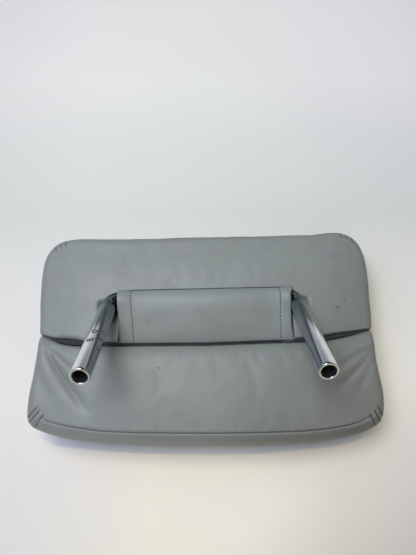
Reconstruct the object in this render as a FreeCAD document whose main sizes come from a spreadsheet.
import FreeCAD, Part
import Sketcher
import math
import os

# Chair headrest on a bent tube, millimetres: a padded cushion on a plywood board,
# clamped to the crossbar of a U-shaped chrome tube.
# Frame: origin on the tilt axis (centre line of the crossbar) at the middle of
# the cushion, X across the width with +X to the sitter's left, +Z up. The head
# side faces -Y, and the posts leave the rear face towards +Y and down.

V = FreeCAD.Vector
Constraint = Sketcher.Constraint
doc = FreeCAD.newDocument("headrest")
sheet = doc.addObject("Spreadsheet::Sheet", "dims")

# alias, value, note
DIMENSIONS = [
    # chrome tube
    ("tube_radius", 10.0, "outer radius of the bent tube"),
    ("bore_radius", 7.5, "inner radius of the tube"),
    ("post_spacing", 234.0, "distance between the two post centre lines"),
    ("bend_radius", 20.0, "centre-line radius of the bends"),
    ("post_reach", 146.0, "tilt axis to the post tip"),
    ("post_angle", 47.0, "angle between posts and cushion plane at rest, degrees"),
    ("tube_shift", 3.0, "the tube sits this far to +X in its clamps"),
    ("plug_length", 12.0, "end plug length"),
    ("plug_recess", 1.5, "plug face below the tube rim"),
    ("cup_radius", 5.4, "open cup in the plug face"),
    ("cup_depth", 8.0, "depth of the cup"),
    # clamps
    ("fit_gap", 0.05, "radial running clearance of the friction liner"),
    ("liner_wall", 1.5, "liner wall round the tube"),
    ("liner_length", 32.0, "liner length along X"),
    ("clamp_offset", 62.0, "clamp centre from the middle"),
    ("strap_gauge", 1.5, "saddle strap thickness"),
    ("strap_width", 26.0, "saddle strap width along X"),
    ("strap_reach", 28.0, "end of the strap foot from the axis"),
    ("screw_offset", 20.5, "screw axis above and below the tilt axis"),
    ("screw_radius", 2.5, "M5 clamp screw"),
    ("screw_grip", 13.7, "screw length under the head"),
    ("head_radius", 4.6, "screw head"),
    ("head_height", 3.0, "screw head height"),
    ("strap_play", 0.25, "radial clearance of the strap hole"),
    ("washer_play", 0.2, "radial clearance of the washer hole"),
    ("washer_radius", 5.5, "washer"),
    ("washer_gauge", 1.0, "washer thickness"),
    ("barrel_radius", 3.4, "tee nut barrel"),
    ("barrel_length", 8.0, "tee nut barrel length"),
    ("prong_radius", 9.0, "tee nut flange"),
    ("prong_gauge", 1.2, "tee nut flange thickness"),
    # board
    ("board_face", 14.0, "rear face of the board in front of the axis"),
    ("board_gauge", 10.0, "plywood thickness"),
    ("board_half", 180.0, "half width of the board"),
    ("board_top", 72.0, "board top above the axis"),
    ("board_bottom", 150.0, "board bottom below the axis"),
    ("board_corner", 24.0, "board corner radius"),
    # cushion outline
    ("cover_gauge", 1.5, "upholstery vinyl with its backing"),
    ("half_top", 209.5, "half width near the top"),
    ("half_mid", 212.0, "half width at the axis"),
    ("half_crease", 209.0, "half width at the crease"),
    ("half_low", 212.0, "half width of the lower lobe"),
    ("top_edge", 89.0, "top of the cushion"),
    ("bottom_edge", 178.0, "bottom of the cushion"),
    ("front_face", 65.0, "head face in front of the axis"),
    ("rear_face", 5.0, "upper rear face behind the axis"),
    ("lobe_face", 13.0, "lower rear lobe behind the axis"),
    ("crease_drop", 53.0, "crease below the axis"),
    ("crease_sink", 6.0, "bottom of the crease in front of the axis"),
    ("seam_drop", 158.0, "bottom boxing seam below the axis"),
    ("front_seam", 45.0, "front panel seam in front of the axis"),
    # bar recess and flap
    ("recess_half", 133.0, "half width of the bar recess"),
    ("recess_top", 16.0, "top of the recess in the cover"),
    ("foam_top", 30.0, "top of the recess in the foam"),
    ("pad_half", 100.0, "half width of the recess pad and tapes"),
    ("pad_top", 34.0, "top of the recess pad below the axis"),
    ("tuck_gauge", 1.0, "one layer of tucked cover"),
    ("foot_length", 12.0, "stapled foot of the tuck"),
    ("flap_half", 103.0, "flap reach on the left"),
    ("flap_short", 98.0, "flap reach on the right, short of the bend"),
    ("flap_gauge", 2.0, "folded double layer of the flap"),
    ("flap_inset", 2.0, "flap tail in front of the upper rear face"),
    ("flap_lift", 1.0, "flap end above the crease"),
    ("tape_height", 15.0, "hook and loop strips"),
    ("tape_gauge", 1.1, "thickness of one strip"),
    ("tape_gap", 0.1, "gap between the two strips"),
    ("tape_rise", 1.5, "lower edge of the strips above the crease"),
    ("staple_pitch", 36.0, "distance between staples"),
    ("staple_crown", 10.0, "staple width"),
    ("staple_wire", 0.8, "staple wire"),
    ("staple_leg", 6.0, "staple leg in the board"),
    # construction solids, larger than the cushion
    ("overrun", 1.0, "a cutting tool runs this far past the solid"),
    ("zone_half", 230.0, "half width of the dividing boxes"),
    ("zone_front", 90.0, "dividing boxes in front of the axis"),
    ("zone_rear", 60.0, "dividing boxes behind the axis"),
    ("zone_top", 120.0, "dividing boxes above the axis"),
    ("zone_bottom", 220.0, "dividing boxes below the axis"),
    ("tuck_rear", 20.0, "tuck boxes behind the axis"),
    ("run_front", 80.0, "rear outline extruded in front of the axis"),
    ("run_rear", 40.0, "rear outline extruded behind the axis"),
]
for row, (alias, value, note) in enumerate(DIMENSIONS, start=1):
    sheet.set("A%d" % row, note)
    sheet.set("B%d" % row, str(value))
    sheet.setAlias("B%d" % row, alias)
doc.recompute()

size = {alias: value for alias, value, _ in DIMENSIONS}
STAPLE_COUNT = 10
SIDES = (("left", "1"), ("right", "-1"))  # name, sign of X

# Turns of a rod's own Z: rotation axis and angle
ALONG_POST = (V(-1, 0, 0), "(180 - dims.post_angle) * 1 deg")
TO_FRONT = (V(1, 0, 0), "90 deg")  # to -Y
ALONG_X = (V(0, 1, 0), "90 deg")

# Planes of the outline sketches
TO_YZ = FreeCAD.Rotation(V(0, 1, 0), V(0, 0, 1), V(1, 0, 0), "ZXY")
TO_XZ = FreeCAD.Rotation(V(1, 0, 0), 90)

pieces = {}


# ------------------------------------------------------------------ helpers
def piece(label, obj):
    """Label an object and list it for export."""
    obj.Label = label
    pieces[label] = obj


def bind(obj, **expressions):
    for prop, expression in expressions.items():
        obj.setExpression(prop, expression)


def place(obj, x, y, z):
    obj.setExpression("Placement.Base.x", x)
    obj.setExpression("Placement.Base.y", y)
    obj.setExpression("Placement.Base.z", z)
    return obj


def box(name, x0, x1, y0, y1, z0, z1):
    """A box between two corners, each given as an expression on the sheet."""
    solid = doc.addObject("Part::Box", name)
    bind(solid, Length="(%s) - (%s)" % (x1, x0), Width="(%s) - (%s)" % (y1, y0),
         Height="(%s) - (%s)" % (z1, z0))
    return place(solid, x0, y0, z0)


def zone(name, y0, y1, z0="-dims.zone_bottom", z1="dims.zone_top"):
    """A box wider than the cushion, to pick out one region of it."""
    return box(name, "-dims.zone_half", "dims.zone_half", y0, y1, z0, z1)


def rod(name, radius, length, turn, x, y, z):
    """A cylinder from the point x, y, z, its own Z turned as given."""
    axis, angle = turn
    solid = doc.addObject("Part::Cylinder", name)
    bind(solid, Radius=radius, Height=length)
    solid.Placement = FreeCAD.Placement(V(0, 0, 0), FreeCAD.Rotation(axis, 90))
    solid.setExpression("Placement.Rotation.Angle", angle)
    return place(solid, x, y, z)


def cut(name, base, tool):
    result = doc.addObject("Part::Cut", name)
    result.Base, result.Tool = base, tool
    return result


def common(name, base, tool):
    result = doc.addObject("Part::Common", name)
    result.Base, result.Tool = base, tool
    return result


def fuse(name, *shapes):
    result = doc.addObject("Part::MultiFuse", name)
    result.Shapes = list(shapes)
    return result


def compound(name, *shapes):
    result = doc.addObject("Part::Compound", name)
    result.Links = list(shapes)
    return result


def drive(sketch, name, constraint, expression):
    """Add a named dimension to a sketch and bind it to the sheet."""
    index = sketch.addConstraint(constraint)
    sketch.renameConstraint(index, name)
    sketch.setExpression("Constraints." + name, expression)


def draw_polygon(sketch, corners):
    """Closed polygon; line i starts at corner i."""
    count = len(corners)
    for i in range(count):
        start, end = corners[i], corners[(i + 1) % count]
        sketch.addGeometry(Part.LineSegment(V(*start, 0), V(*end, 0)), False)
    for i in range(count):
        sketch.addConstraint(Constraint("Coincident", i, 2, (i + 1) % count, 1))


def starting_value(expression):
    """Value of a sum of numbers and sheet aliases, to draw a corner where it belongs."""
    total, sign = 0.0, 1.0
    for word in expression.split():
        if word in "+-":
            sign = 1.0 if word == "+" else -1.0
            continue
        if word.startswith("-"):
            sign, word = -sign, word[1:]
        amount = size[word[len("dims."):]] if word.startswith("dims.") else float(word)
        total += sign * amount
        sign = 1.0
    return total


def outline(name, points, rotation):
    """A closed sketch polygon, every corner held by two driven dimensions."""
    sketch = doc.addObject("Sketcher::SketchObject", name)
    sketch.Placement = FreeCAD.Placement(V(0, 0, 0), rotation)
    corners = [(starting_value(u), starting_value(v)) for u, v in points]
    draw_polygon(sketch, corners)
    for i, ((u, v), (u_value, v_value)) in enumerate(zip(points, corners)):
        drive(sketch, "u%d" % i, Constraint("DistanceX", -1, 1, i, 1, u_value), u)
        drive(sketch, "v%d" % i, Constraint("DistanceY", -1, 1, i, 1, v_value), v)
    return sketch


def inward(name, sketch):
    """The outline moved inward by the cover thickness, with sharp corners."""
    offset = doc.addObject("Part::Offset2D", name)
    offset.Source = sketch
    offset.Join = 2
    bind(offset, Value="-dims.cover_gauge")
    return offset


def extrude(name, sketch, direction, back, forward):
    solid = doc.addObject("Part::Extrusion", name)
    solid.Base = sketch
    solid.DirMode = "Custom"
    solid.Dir = direction
    solid.Solid = True
    bind(solid, LengthFwd=forward, LengthRev=back)
    return solid


def body_sketch(body, name, role):
    """A sketch in a body, on the origin plane of the given role."""
    plane = next(f for f in body.Origin.OriginFeatures if f.Role == role)
    sketch = body.newObject("Sketcher::SketchObject", name)
    sketch.AttachmentSupport = [(plane, "")]
    sketch.MapMode = "FlatFace"
    return sketch


# ---------------------------------------------------------------- bent tube
def draw_tube_path(path):
    """The U of the centre line: left post, bend, crossbar, bend, right post."""
    reach, bend = size["post_reach"], size["bend_radius"]
    half, shift = size["post_spacing"] / 2, size["tube_shift"]
    left, right = shift + half, shift - half
    up = V(0, 0, 1)
    for item in (
        Part.LineSegment(V(left, reach, 0), V(left, bend, 0)),
        Part.ArcOfCircle(Part.Circle(V(left - bend, bend, 0), up, bend), -math.pi / 2, 0),
        Part.LineSegment(V(left - bend, 0, 0), V(right + bend, 0, 0)),
        Part.ArcOfCircle(Part.Circle(V(right + bend, bend, 0), up, bend),
                         math.pi, 3 * math.pi / 2),
        Part.LineSegment(V(right, bend, 0), V(right, reach, 0)),
    ):
        path.addGeometry(item, False)
    for rule in (
        ("Tangent", 0, 2, 1, 2), ("Tangent", 1, 1, 2, 1),
        ("Tangent", 2, 2, 3, 2), ("Tangent", 3, 1, 4, 1),
        ("Vertical", 0), ("Horizontal", 2), ("Vertical", 4),
        ("PointOnObject", 2, 1, -1), ("Equal", 1, 3),
    ):
        path.addConstraint(Constraint(*rule))
    for name, rule, expression in (
        ("bend", ("Radius", 1, bend), "dims.bend_radius"),
        ("reach", ("DistanceY", -1, 1, 0, 1, reach), "dims.post_reach"),
        ("reach_b", ("DistanceY", -1, 1, 4, 2, reach), "dims.post_reach"),
        ("left", ("DistanceX", -1, 1, 0, 1, left), "dims.post_spacing / 2 + dims.tube_shift"),
        ("right", ("DistanceX", 4, 2, -1, 1, -right), "dims.post_spacing / 2 - dims.tube_shift"),
    ):
        drive(path, name, Constraint(*rule), expression)


def draw_tube_ring(ring):
    """The tube section at the left post tip."""
    ring.setExpression("AttachmentOffset.Base.z", "-dims.post_reach")
    left = size["tube_shift"] + size["post_spacing"] / 2
    for alias in ("tube_radius", "bore_radius"):
        radius = size[alias]
        circle = ring.addGeometry(Part.Circle(V(left, 0, 0), V(0, 0, 1), radius), False)
        ring.addConstraint(Constraint("PointOnObject", circle, 3, -1))
        drive(ring, "r_" + alias, Constraint("Radius", circle, radius), "dims." + alias)
        drive(ring, "x_" + alias, Constraint("DistanceX", -1, 1, circle, 3, left),
              "dims.post_spacing / 2 + dims.tube_shift")


def make_tube():
    """Swept in the body's XY plane with the tips at +Y, then turned to the rest angle."""
    tube = doc.addObject("PartDesign::Body", "tube_body")
    path = body_sketch(tube, "tube_path", "XY_Plane")
    draw_tube_path(path)
    ring = body_sketch(tube, "tube_ring", "XZ_Plane")
    draw_tube_ring(ring)
    doc.recompute()
    sweep = tube.newObject("PartDesign::AdditivePipe", "tube_sweep")
    sweep.Profile = ring
    sweep.Spine = path
    doc.recompute()
    turn = FreeCAD.Rotation(V(-1, 0, 0), 90 - size["post_angle"])
    tube.Placement = FreeCAD.Placement(V(0, 0, 0), turn)
    tube.setExpression("Placement.Rotation.Angle", "(90 - dims.post_angle) * 1 deg")
    piece("support_tube", tube)


def post_rod(name, sign, radius, length, distance):
    """A rod on a post's centre line, starting at a distance from the tilt axis."""
    return rod(name, radius, length, ALONG_POST,
               "%s * dims.post_spacing / 2 + dims.tube_shift" % sign,
               distance + " * sin(dims.post_angle * 1 deg)",
               "-" + distance + " * cos(dims.post_angle * 1 deg)")


def make_plug(side, sign):
    """Cupped plug in a post tip."""
    plug = post_rod(side + "_plug_body", sign, "dims.bore_radius", "dims.plug_length",
                    "(dims.post_reach - dims.plug_recess - dims.plug_length)")
    cup = post_rod(side + "_plug_cup", sign, "dims.cup_radius", "dims.cup_depth + dims.overrun",
                   "(dims.post_reach - dims.plug_recess - dims.cup_depth)")
    piece(side + "_post_plug", cut(side + "_plug_cut", plug, cup))


make_tube()
for side, sign in SIDES:
    make_plug(side, sign)

# ------------------------------------------------- clamps, liners, fasteners
LINER_RADIUS = "(dims.tube_radius + dims.fit_gap + dims.liner_wall)"
STRAP_RADIUS = "(%s + dims.strap_gauge)" % LINER_RADIUS
STRAP_TOP = "-dims.board_face + dims.strap_gauge"  # rear face of the strap feet
HEAD_SEAT = STRAP_TOP + " + dims.washer_gauge"     # underside of the screw head
BOARD_FRONT = "-dims.board_face - dims.board_gauge"

screws, washers, nuts, board_holes, nut_seats = [], [], [], [], []


def make_liner(side, centre):
    """Nylon pillow block: round over the tube and square on the board."""
    x0, x1 = centre + " - dims.liner_length / 2", centre + " + dims.liner_length / 2"
    dome = rod(side + "_liner_dome", LINER_RADIUS, "dims.liner_length", ALONG_X, x0, "0", "0")
    base = box(side + "_liner_base", x0, x1, "-dims.board_face", "0",
               "-" + LINER_RADIUS, LINER_RADIUS)
    bore = rod(side + "_liner_bore", "dims.tube_radius + dims.fit_gap",
               "dims.liner_length + 2 * dims.overrun", ALONG_X, x0 + " - dims.overrun", "0", "0")
    solid = fuse(side + "_liner_body", dome, base)
    piece(side + "_clamp_liner", cut(side + "_liner_cut", solid, bore))


def make_strap(side, centre):
    """Steel saddle strap without its screw holes: arch, two legs, two feet."""
    x0, x1 = centre + " - dims.strap_width / 2", centre + " + dims.strap_width / 2"
    arch = rod(side + "_strap_arch", STRAP_RADIUS, "dims.strap_width", ALONG_X, x0, "0", "0")
    legs = box(side + "_strap_legs", x0, x1, "-dims.board_face", "0",
               "-" + STRAP_RADIUS, STRAP_RADIUS)
    feet = box(side + "_strap_feet", x0, x1, "-dims.board_face", STRAP_TOP,
               "-dims.strap_reach", "dims.strap_reach")
    hollow = rod(side + "_strap_hollow", LINER_RADIUS, "dims.strap_width + 2 * dims.overrun",
                 ALONG_X, x0 + " - dims.overrun", "0", "0")
    slot = box(side + "_strap_slot", x0 + " - dims.overrun", x1 + " + dims.overrun",
               "-dims.board_face - dims.overrun", "0", "-" + LINER_RADIUS, LINER_RADIUS)
    return cut(side + "_strap_open", fuse(side + "_strap_solid", arch, legs, feet),
               fuse(side + "_strap_core", hollow, slot))


def make_fastener(tag, centre, z):
    """Washer, screw and tee nut on one screw axis, with their holes; gives the strap hole."""
    def disc(name, radius, length, y):
        return rod(tag + name, radius, length, TO_FRONT, centre, y, z)

    strap_hole = disc("_strap_hole", "dims.screw_radius + dims.strap_play",
                      "dims.strap_gauge + 2 * dims.overrun", STRAP_TOP + " + dims.overrun")

    washer = disc("_washer_disc", "dims.washer_radius", "dims.washer_gauge", HEAD_SEAT)
    washer_hole = disc("_washer_hole", "dims.screw_radius + dims.washer_play",
                       "dims.washer_gauge + 2 * dims.overrun", HEAD_SEAT + " + dims.overrun")
    washers.append(cut(tag + "_washer", washer, washer_hole))

    head_top = HEAD_SEAT + " + dims.head_height"
    shank = disc("_shank", "dims.screw_radius", "dims.screw_grip", HEAD_SEAT)
    head = disc("_head", "dims.head_radius", "dims.head_height", head_top)
    socket = disc("_drive", "dims.screw_radius / 2", "dims.head_height / 2 + dims.overrun",
                  head_top + " + dims.overrun")
    screws.append(cut(tag + "_screw", fuse(tag + "_screw_body", shank, head), socket))

    barrel_end = BOARD_FRONT + " + dims.barrel_length"
    flange = disc("_nut_flange", "dims.prong_radius", "dims.prong_gauge", BOARD_FRONT)
    barrel = disc("_nut_barrel", "dims.barrel_radius", "dims.barrel_length", barrel_end)
    thread = disc("_nut_thread", "dims.screw_radius",
                  "dims.barrel_length + dims.prong_gauge + 2 * dims.overrun",
                  barrel_end + " + dims.overrun")
    nuts.append(cut(tag + "_nut", fuse(tag + "_nut_body", flange, barrel), thread))

    board_holes.append(disc("_board_hole", "dims.barrel_radius",
                            "dims.board_gauge + 2 * dims.overrun",
                            "-dims.board_face + dims.overrun"))
    nut_seats.append(disc("_nut_seat", "dims.prong_radius", "dims.prong_gauge", BOARD_FRONT))
    return strap_hole


for side, sign in SIDES:
    centre = "%s * dims.clamp_offset" % sign
    make_liner(side, centre)
    strap = make_strap(side, centre)
    holes = [make_fastener(side + "_upper", centre, "dims.screw_offset"),
             make_fastener(side + "_lower", centre, "-dims.screw_offset")]
    piece(side + "_bar_clamp",
          cut(side + "_strap_cut", strap, fuse(side + "_strap_holes", *holes)))
piece("clamp_screws", compound("screw_group", *screws))
piece("clamp_washers", compound("washer_group", *washers))
piece("tee_nuts", compound("nut_group", *nuts))


# ------------------------------------------------------------ backing board
def make_board():
    """The plywood board with rounded corners, before its holes."""
    body = doc.addObject("PartDesign::Body", "board_body")
    sketch = body_sketch(body, "board_outline", "XZ_Plane")
    half, top, bottom = size["board_half"], size["board_top"], size["board_bottom"]
    draw_polygon(sketch, [(-half, -bottom), (half, -bottom), (half, top), (-half, top)])
    for line, rule in enumerate(("Horizontal", "Vertical", "Horizontal", "Vertical")):
        sketch.addConstraint(Constraint(rule, line))
    for name, rule, expression in (
        ("half_l", ("DistanceX", 0, 1, -1, 1, half), "dims.board_half"),
        ("half_r", ("DistanceX", -1, 1, 1, 1, half), "dims.board_half"),
        ("down", ("DistanceY", 0, 1, -1, 1, bottom), "dims.board_bottom"),
        ("up", ("DistanceY", -1, 1, 2, 1, top), "dims.board_top"),
    ):
        drive(sketch, name, Constraint(*rule), expression)
    pad = body.newObject("PartDesign::Pad", "board_pad")
    pad.Profile = sketch
    pad.Length = size["board_gauge"]
    bind(pad, Length="dims.board_gauge")
    doc.recompute()
    # the corner edges are the ones along Y
    corner_edges = ["Edge%d" % i for i, edge in enumerate(pad.Shape.Edges, start=1)
                    if abs(edge.tangentAt(edge.FirstParameter).y) > 0.99]
    fillet = body.newObject("PartDesign::Fillet", "board_round")
    fillet.Base = (pad, corner_edges)
    fillet.Radius = size["board_corner"]
    bind(fillet, Radius="dims.board_corner")
    doc.recompute()
    body.setExpression("Placement.Base.y", "-dims.board_face")
    doc.recompute()
    return body


def make_staple(index):
    """One of the staples that hold the tucked cover to the board, below the crease."""
    x = "%.1f * dims.staple_pitch" % (index - (STAPLE_COUNT - 1) / 2)
    left, right = x + " + dims.staple_crown / 2", x + " - dims.staple_crown / 2"
    crown_y = "-dims.board_face + dims.tuck_gauge"
    middle = "-dims.crease_drop - dims.tuck_gauge - dims.foot_length / 2"
    z0, z1 = middle + " - dims.staple_wire / 2", middle + " + dims.staple_wire / 2"
    bars = [box("staple_crown_%d" % index, right, left,
                crown_y, crown_y + " + dims.staple_wire", z0, z1)]
    for tag, start in (("a", right), ("b", left + " - dims.staple_wire")):
        bars.append(box("staple_leg_%s%d" % (tag, index), start, start + " + dims.staple_wire",
                        "-dims.board_face - dims.staple_leg", crown_y, z0, z1))
    return fuse("staple_%d" % index, *bars)


board = make_board()
staples = [make_staple(index) for index in range(STAPLE_COUNT)]
piece("cover_staples", compound("staple_group", *staples))
staple_tool = fuse("staple_tool", *staples)
piece("backing_board", cut("board_cut", board, fuse("board_tools", staple_tool, *board_holes)))

# ------------------------------------------------------- cushion envelope
# Side section, columns Y and Z: down the head face, along the bottom, up the
# rear over the lobe and the crease, and back over the top.
SIDE_POINTS = [
    ("-dims.front_face", "62"),
    ("-dims.front_face", "-150"),
    ("-dims.front_face + 5", "-dims.bottom_edge + 10"),
    ("-44", "-dims.bottom_edge + 1"),
    ("-22", "-dims.bottom_edge"),
    ("-2", "-dims.bottom_edge + 5"),
    ("dims.lobe_face - 5", "-dims.seam_drop - 3"),
    ("dims.lobe_face - 1", "-140"),
    ("dims.lobe_face", "-105"),
    ("dims.lobe_face - 3", "-76"),
    ("4", "-dims.crease_drop - 9"),
    ("-dims.crease_sink", "-dims.crease_drop"),
    ("2", "-dims.crease_drop + 7"),
    ("dims.rear_face", "-30"),
    ("dims.rear_face", "40"),
    ("3", "72"),
    ("-4", "dims.top_edge - 4"),
    ("-16", "dims.top_edge"),
    ("-44", "dims.top_edge - 1"),
    ("-dims.front_face + 5", "dims.top_edge - 11"),
]
# Left half of the rear outline, columns X and Z, from the top down
HALF_OUTLINE = [
    ("168", "dims.top_edge"),
    ("192", "dims.top_edge - 4"),
    ("204", "dims.top_edge - 14"),
    ("dims.half_top", "60"),
    ("dims.half_mid", "30"),
    ("dims.half_mid - 1", "-10"),
    ("dims.half_crease", "-dims.crease_drop"),
    ("dims.half_low - 2", "-90"),
    ("dims.half_low", "-125"),
    ("dims.half_low - 3", "-152"),
    ("196", "-166"),
    ("168", "-173"),
    ("110", "-dims.bottom_edge + 1"),
]
mirrored = [("-" + x.replace(" - ", " + "), z) for x, z in reversed(HALF_OUTLINE)]


def envelope(name, suffix, side_profile, rear_profile):
    """The side section run across the width, kept inside the rear outline."""
    return common(
        name,
        extrude("side_run" + suffix, side_profile, V(1, 0, 0), "dims.zone_half", "dims.zone_half"),
        extrude("rear_run" + suffix, rear_profile, V(0, 1, 0), "dims.run_front", "dims.run_rear"))


side_sketch = outline("side_section", SIDE_POINTS, TO_YZ)
rear_sketch = outline("rear_outline", HALF_OUTLINE + mirrored, TO_XZ)
doc.recompute()
side_inner = inward("side_section_inner", side_sketch)
rear_inner = inward("rear_outline_inner", rear_sketch)
doc.recompute()
outer = envelope("outer_envelope", "", side_sketch, rear_sketch)
inner = envelope("inner_envelope", "_inner", side_inner, rear_inner)
shell = cut("cover_shell", outer, inner)

# Places that the covers, foams and flap share
CREASE = "-dims.crease_drop"
TUCK_TOP = CREASE + " + dims.tuck_gauge"
TUCK_BOTTOM = CREASE + " - dims.tuck_gauge"
BOARD_REAR = "-dims.board_face"
SEAM = "-dims.front_seam"
REAR = "dims.zone_rear"

# ---------------------------------------------------------- cover and tucks
recess = box("recess_box", "-dims.recess_half", "dims.recess_half", BOARD_REAR, REAR,
             CREASE, "dims.recess_top")
tuck_upper = common("tuck_upper", inner,
                    zone("tuck_upper_box", BOARD_REAR, "dims.tuck_rear", CREASE, TUCK_TOP))
tuck_lower = common("tuck_lower", inner,
                    zone("tuck_lower_box", BOARD_REAR, "dims.tuck_rear", TUCK_BOTTOM, CREASE))
foot = box("tuck_foot", "-dims.board_half", "dims.board_half",
           BOARD_REAR, BOARD_REAR + " + dims.tuck_gauge",
           TUCK_BOTTOM + " - dims.foot_length", TUCK_BOTTOM)

piece("front_cover",
      common("front_panel", shell, zone("front_zone", "-dims.zone_front", SEAM)))
piece("bottom_boxing",
      common("boxing_panel", shell, zone("boxing_zone", SEAM, REAR, z1="-dims.seam_drop")))

lower_panel = common("lower_panel", shell,
                     zone("lower_zone", SEAM, REAR, "-dims.seam_drop", CREASE))
lower_sewn = fuse("lower_sewn", lower_panel, tuck_lower, foot)
piece("rear_lower_cover", cut("lower_cover", lower_sewn, staple_tool))

upper_panel = common("upper_panel", shell, zone("upper_zone", SEAM, REAR, z0=CREASE))
upper_open = cut("upper_open", upper_panel, recess)
piece("rear_upper_cover", fuse("upper_cover", upper_open, tuck_upper))

# -------------------------------------------------------------------- foams
front_core = common("front_core", inner,
                    zone("front_core_zone", "-dims.zone_front", BOARD_REAR))
piece("front_foam", cut("front_pad", front_core, fuse("front_pockets", board, *nut_seats)))

lower_core = common("lower_core", inner,
                    zone("lower_core_zone", BOARD_REAR, REAR, z1=TUCK_BOTTOM))
piece("rear_lower_foam",
      cut("lower_pad", lower_core, fuse("lower_pockets", foot, staple_tool)))

upper_core = common("upper_core", inner,
                    zone("upper_core_zone", BOARD_REAR, REAR, z0=TUCK_TOP))
foam_recess = box("foam_recess", "-dims.recess_half", "dims.recess_half",
                  BOARD_REAR + " - dims.overrun", REAR, CREASE, "dims.foam_top")
piece("rear_upper_foam", cut("upper_pad", upper_core, foam_recess))

# --------------------------------------- recess pad, hook and loop, bar flap
FLAP_REAR = "dims.rear_face - dims.flap_inset"  # rear side of the flap's tail
FLAP_FRONT = FLAP_REAR + " - dims.flap_gauge"
FLAP_END = CREASE + " + dims.flap_lift"
HOOK_FRONT = FLAP_FRONT + " - dims.tape_gauge"
LOOP_REAR = HOOK_FRONT + " - dims.tape_gap"
LOOP_FRONT = LOOP_REAR + " - dims.tape_gauge"
TAPE_BOTTOM = CREASE + " + dims.tape_rise"
TAPE_TOP = TAPE_BOTTOM + " + dims.tape_height"


def pad_box(name, y0, y1, z0, z1):
    """A box as wide as the recess pad."""
    return box(name, "-dims.pad_half", "dims.pad_half", y0, y1, z0, z1)


piece("recess_pad", pad_box("recess_block", BOARD_REAR, LOOP_FRONT, TUCK_TOP, "-dims.pad_top"))
piece("flap_loop_tape", pad_box("loop_strip", LOOP_FRONT, LOOP_REAR, TAPE_BOTTOM, TAPE_TOP))
piece("flap_hook_tape", pad_box("hook_strip", HOOK_FRONT, FLAP_FRONT, TAPE_BOTTOM, TAPE_TOP))

# Flap section, columns Y and Z: down the rear side, then up the front side
FLAP_POINTS = [
    ("6", "17"),
    ("13.8", "8.5"),
    ("15.6", "0.01"),
    ("14.6", "-8"),
    (FLAP_REAR, "-36"),
    (FLAP_REAR, FLAP_END),
    (FLAP_FRONT, FLAP_END),
    (FLAP_FRONT, "-36.4"),
    ("12.7", "-7.4"),
    ("13.6", "0.01"),
    ("11.9", "7.7"),
    ("5", "15.2"),
]
flap_sketch = outline("flap_section", FLAP_POINTS, TO_YZ)
piece("bar_flap",
      extrude("flap_run", flap_sketch, V(1, 0, 0), "dims.flap_short", "dims.flap_half"))

# --------------------------------------------------------- checks and export
doc.recompute()
failed = [obj.Name for obj in doc.Objects if "Invalid" in obj.State or "Error" in obj.State]
if failed:
    raise RuntimeError("failed objects: %s" % failed)
for label, obj in pieces.items():
    shape = obj.Shape
    if shape.isNull() or not shape.isValid() or not shape.Solids:
        raise RuntimeError("bad shape: %s" % label)

os.makedirs("parts", exist_ok=True)
for label, obj in pieces.items():
    obj.Shape.exportStep("parts/%s.step" % label)
